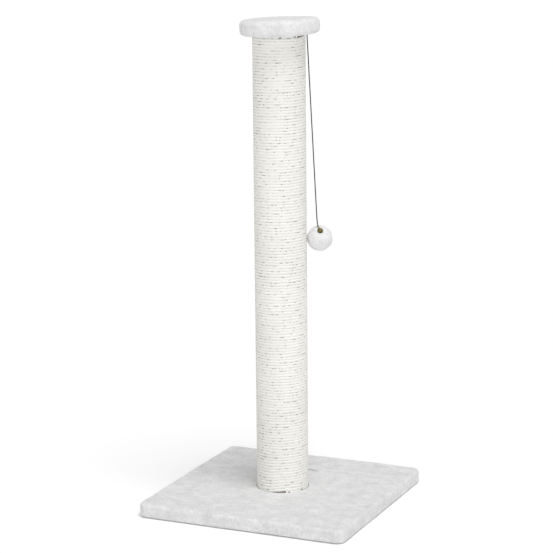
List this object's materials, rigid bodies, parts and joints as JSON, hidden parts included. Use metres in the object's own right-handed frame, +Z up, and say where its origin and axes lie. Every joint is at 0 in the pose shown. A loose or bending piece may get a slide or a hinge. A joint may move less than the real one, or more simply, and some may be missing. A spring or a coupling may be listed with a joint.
{
  "type": "cat scratching post",
  "caption": "Tall cat scratching post: a round post wound in pale rope on a square plush base, with a plush cap and a plush ball with a small bell hanging on an elastic cord.",
  "frame": {"origin": "middle of the base at floor level", "axes": "+Z up along the post, base sides along X and Y, the toy hangs between +X and +Y"},
  "size_m": [0.4, 0.4, 0.8856],
  "materials": {
    "plush": "short grey-white pile, matt",
    "sisal": "bleached twisted rope, matt",
    "black_liner": "non-woven, matt",
    "black_felt": "felt, matt",
    "chipboard": "raw",
    "plug_wood": "raw",
    "cardboard": "spiral wound paper, raw",
    "foam": "open cell foam, matt",
    "stuffing": "polyester fibre, matt",
    "staple_steel": "galvanised",
    "zinc_steel": "zinc plated",
    "pellet_steel": "dull",
    "dark_tacks": "blued",
    "brass": "polished, slightly tarnished",
    "grey_elastic": "braided elastic, matt"
  },
  "bodies": {
    "stand": {"base_board": "chipboard", "base_cover": "plush", "base_liner": "black_liner", "foot_pads": "black_felt", "hem_staples": "staple_steel", "liner_staples": "staple_steel", "base_bolt": "zinc_steel", "base_washer": "zinc_steel", "post_tube": "cardboard", "lower_plug": "plug_wood", "upper_plug": "plug_wood", "tee_nuts": "zinc_steel", "plug_nails": "staple_steel", "sisal_rope": "sisal", "rope_tacks": "dark_tacks", "cap_board": "chipboard", "cap_bolt": "zinc_steel", "cap_foam": "foam", "cap_cover": "plush", "cap_staples": "staple_steel", "cord_staple": "staple_steel"},
    "toy_pivot": {"cord_knot": "grey_elastic"},
    "toy_cord": {"elastic_cord": "grey_elastic"},
    "toy_hook": {"cord_end_knot": "grey_elastic"},
    "toy": {"bell_upper_shell": "brass", "bell_lower_shell": "brass", "bell_loop": "brass", "ball_stuffing": "stuffing", "ball_cover": "plush"},
    "pellet": {"bell_pellet": "pellet_steel"}
  },
  "joints": [
    {"name": "toy_sway", "type": "hinge", "parent": "stand", "child": "toy_pivot", "pos_m": [0.04537, 0.02029, 0.8601], "axis": [0.9128, 0.4083, 0], "range_deg": [-70, 70]},
    {"name": "toy_lift", "type": "hinge", "parent": "toy_pivot", "child": "toy_cord", "pos_m": [0.04537, 0.02029, 0.8601], "axis": [0.4083, -0.9128, 0], "range_deg": [0, 70]},
    {"name": "toy_stretch", "type": "slide", "parent": "toy_cord", "child": "toy_hook", "axis": [0, 0, -1], "range_m": [0, 0.15], "stiffness_N_per_m": 15, "springref_m": -0.006, "deforming": ["elastic_cord"]},
    {"name": "toy_twirl", "type": "hinge", "parent": "toy_hook", "child": "toy", "pos_m": [0.06522, 0.01871, 0.51484], "axis": [0, 0, 1], "range_deg": [-150, 0]},
    {"name": "pellet_rattle", "type": "slide", "parent": "toy", "child": "pellet", "axis": [0, 0, 1], "range_m": [0, 0.0048]}
  ]
}
